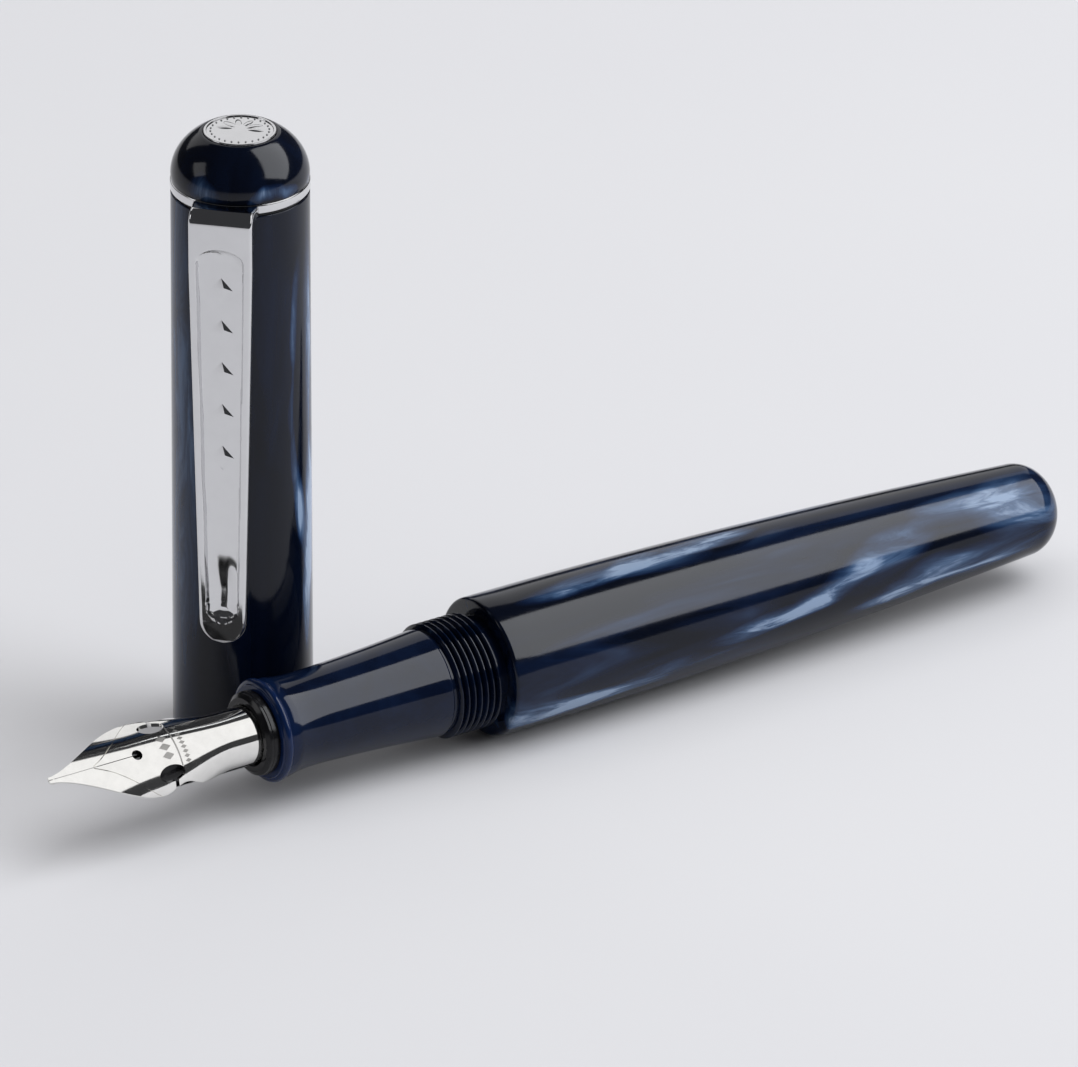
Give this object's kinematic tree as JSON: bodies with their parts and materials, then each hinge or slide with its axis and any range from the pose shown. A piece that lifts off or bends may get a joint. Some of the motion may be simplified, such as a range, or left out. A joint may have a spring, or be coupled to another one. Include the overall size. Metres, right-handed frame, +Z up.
{
  "type": "fountain pen",
  "caption": "Fountain pen with its threaded cap off: the pen lies on its tapered barrel with the steel nib forward, and the clip cap stands upright behind the grip.",
  "frame": {"origin": "middle of the whole object's box, at the height of the table it rests on", "axes": "+X along the pen from nib to barrel end, +Z up along the standing cap, +Y from the pen towards the cap"},
  "size_m": [0.1229, 0.0288, 0.0669],
  "materials": {
    "pearl_resin": "polished marbled dark blue resin",
    "plain_resin": "polished plain dark blue resin",
    "nib_steel": "polished steel with engraved lines",
    "clip_metal": "polished plated metal",
    "black_plastic": "satin moulded",
    "seal_rubber": "soft black",
    "clear_plastic": "clear moulded",
    "stud_steel": "turned"
  },
  "bodies": {
    "grip": {"section": "plain_resin", "barrel_seal": "seal_rubber"},
    "barrel": {"barrel": "pearl_resin"},
    "nib_unit": {"nib_housing": "black_plastic", "housing_seal": "seal_rubber"},
    "nib_and_feed": {"nib": "nib_steel", "feed": "black_plastic"},
    "converter": {"converter_mouth": "black_plastic", "converter_reservoir": "clear_plastic", "converter_guide": "black_plastic", "converter_collar": "clip_metal"},
    "filler_knob": {"converter_knob": "black_plastic", "knob_button": "clip_metal"},
    "piston": {"piston_rod": "black_plastic", "piston_seal": "seal_rubber"},
    "cap": {"cap_tube": "pearl_resin", "inner_cap": "black_plastic"},
    "clip_mount": {"clip_ring": "clip_metal", "clip_washer": "black_plastic"},
    "clip": {"clip_arm": "clip_metal"},
    "finial": {"finial_dome": "pearl_resin", "finial_bezel": "clip_metal", "finial_medallion": "clip_metal", "finial_stud": "stud_steel"}
  },
  "joints": [
    {"name": "barrel_pull", "type": "slide", "parent": "grip", "child": "barrel", "axis": [1, 0, 0], "range_m": [0, 0.075]},
    {"name": "nib_unit_pull", "type": "slide", "parent": "grip", "child": "nib_unit", "axis": [-1, 0, 0], "range_m": [0, 0.02]},
    {"name": "nib_pull", "type": "slide", "parent": "nib_unit", "child": "nib_and_feed", "axis": [-1, 0, 0], "range_m": [0, 0.012]},
    {"name": "converter_pull", "type": "slide", "parent": "grip", "child": "converter", "axis": [1, 0, 0], "range_m": [0, 0.0065]},
    {"name": "knob_turn", "type": "hinge", "parent": "converter", "child": "filler_knob", "pos_m": [0.02075, -0.00714, 0.0073], "axis": [-1, 0, 0], "range_deg": [0, 2165]},
    {"name": "piston_slide", "type": "slide", "parent": "converter", "child": "piston", "axis": [1, 0, 0], "range_m": [0, 0.018]},
    {"name": "cap_lift", "type": "slide", "parent": "grip", "child": "cap", "axis": [0, 0, 1], "range_m": [0, 0.03]},
    {"name": "clip_rise", "type": "slide", "parent": "cap", "child": "clip_mount", "axis": [0, 0, 1], "range_m": [0, 0.0042]},
    {"name": "finial_turn", "type": "hinge", "parent": "clip_mount", "child": "finial", "pos_m": [-0.02855, 0.00726, 0.0615], "axis": [0, 0, 1], "range_deg": [0, 2165]},
    {"name": "clip_flex", "type": "hinge", "parent": "clip_mount", "child": "clip", "pos_m": [-0.0347, 0.00111, 0.06055], "axis": [-0.7071, 0.7071, 0], "range_deg": [0, 3], "stiffness_Nm_per_rad": 0.5}
  ],
  "couplings": [
    {"joint": "knob_turn", "follows": "piston_slide", "rad_per_m": 2094.4},
    {"joint": "finial_turn", "follows": "clip_rise", "rad_per_m": 8976}
  ]
}
